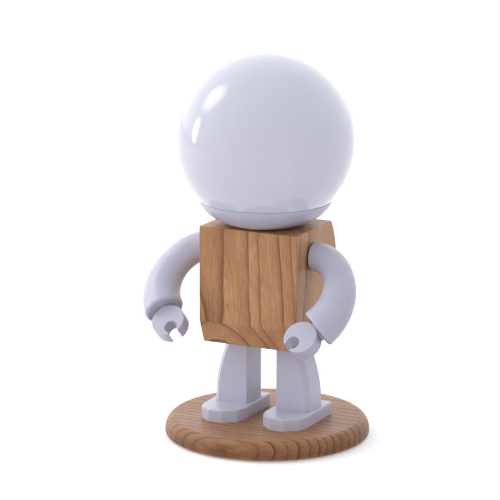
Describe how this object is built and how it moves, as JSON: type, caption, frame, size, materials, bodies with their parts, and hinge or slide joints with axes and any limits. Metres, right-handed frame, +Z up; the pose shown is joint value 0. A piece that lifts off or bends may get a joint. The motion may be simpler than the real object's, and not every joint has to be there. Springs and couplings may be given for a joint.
{
  "type": "robot figure table lamp",
  "caption": "Robot-shaped table lamp: round glass head on a wooden block body, curved arms with clip hands, square legs and flat feet on a round wooden base.",
  "frame": {"origin": "centre of the base's underside, on the surface it stands on", "axes": "+Z up; the figure faces -Y; +X is the figure's own left (the viewer's right)"},
  "size_m": [0.1914, 0.1748, 0.3315],
  "materials": {
    "base_wood": "satin oiled ash, round base",
    "body_wood": "satin oiled ash, body block",
    "white_moulding": "white satin moulding",
    "lamp_cup": "white satin moulding",
    "globe_glass": "opal white, glossy",
    "steel": "zinc plated",
    "insert_brass": "turned",
    "dowel_wood": "beech",
    "bush_nylon": "natural nylon",
    "heat_sink": "plain",
    "led_board": "white solder mask",
    "led_chip": "phosphor",
    "gasket": "white silicone",
    "circuit_board": "green laminate",
    "components": "black",
    "leads": "insulated lead",
    "felt": "dark felt",
    "inlet_plate": "white",
    "button": "white",
    "dark_plastic": "black"
  },
  "bodies": {
    "body": {"base_disc": "base_wood", "base_felt": "felt", "body_block": "body_wood", "leg_bolts": "steel", "leg_bolt_washers": "steel", "body_inserts": "insert_brass", "locating_dowels": "dowel_wood", "lamp_cup": "lamp_cup", "cup_screws": "steel", "led_heat_sink": "heat_sink", "led_board": "led_board", "led_chips": "led_chip", "led_screws": "steel", "globe_gasket": "gasket", "driver_board": "circuit_board", "driver_components": "components", "led_leads": "leads", "inlet_leads": "leads", "inlet_plate": "inlet_plate", "plate_screws": "steel", "inlet_shell": "steel", "inlet_tongue": "dark_plastic", "inlet_cradle": "dark_plastic", "io_board": "circuit_board", "switch_body": "dark_plastic", "button_spring": "steel", "foot_left": "white_moulding", "leg_left": "white_moulding", "shoulder_bush_left": "bush_nylon", "foot_right": "white_moulding", "leg_right": "white_moulding", "shoulder_bush_right": "bush_nylon"},
    "globe": {"globe": "globe_glass"},
    "button": {"power_button": "button"},
    "arm_left": {"arm_left": "white_moulding", "shoulder_peg_left": "steel", "shoulder_ring_left": "steel", "wrist_socket_left": "white_moulding"},
    "hand_left": {"hand_left": "white_moulding", "wrist_ring_left": "steel"},
    "arm_right": {"arm_right": "white_moulding", "shoulder_peg_right": "steel", "shoulder_ring_right": "steel", "wrist_socket_right": "white_moulding"},
    "hand_right": {"hand_right": "white_moulding", "wrist_ring_right": "steel"}
  },
  "joints": [
    {"name": "globe_lift", "type": "slide", "parent": "body", "child": "globe", "axis": [0, 0, 1], "range_m": [0, 0.1]},
    {"name": "power_button_press", "type": "slide", "parent": "body", "child": "button", "axis": [0, -1, 0], "range_m": [0, 0.0015], "stiffness_N_per_m": 500, "springref_m": -0.001, "deforming": ["button_spring"]},
    {"name": "shoulder_left", "type": "hinge", "parent": "body", "child": "arm_left", "pos_m": [0.0466, -0.008, 0.1623], "axis": [-1, 0, 0], "range_deg": [-168, 90]},
    {"name": "wrist_left", "type": "hinge", "parent": "arm_left", "child": "hand_left", "pos_m": [0.07099, -0.05252, 0.11233], "axis": [-0.6293, -0.517, -0.5802], "continuous": true},
    {"name": "shoulder_right", "type": "hinge", "parent": "body", "child": "arm_right", "pos_m": [-0.0466, -0.008, 0.1623], "axis": [-1, 0, 0], "range_deg": [-168, 90]},
    {"name": "wrist_right", "type": "hinge", "parent": "arm_right", "child": "hand_right", "pos_m": [-0.07099, -0.05252, 0.11233], "axis": [0.6293, -0.517, -0.5802], "continuous": true}
  ]
}
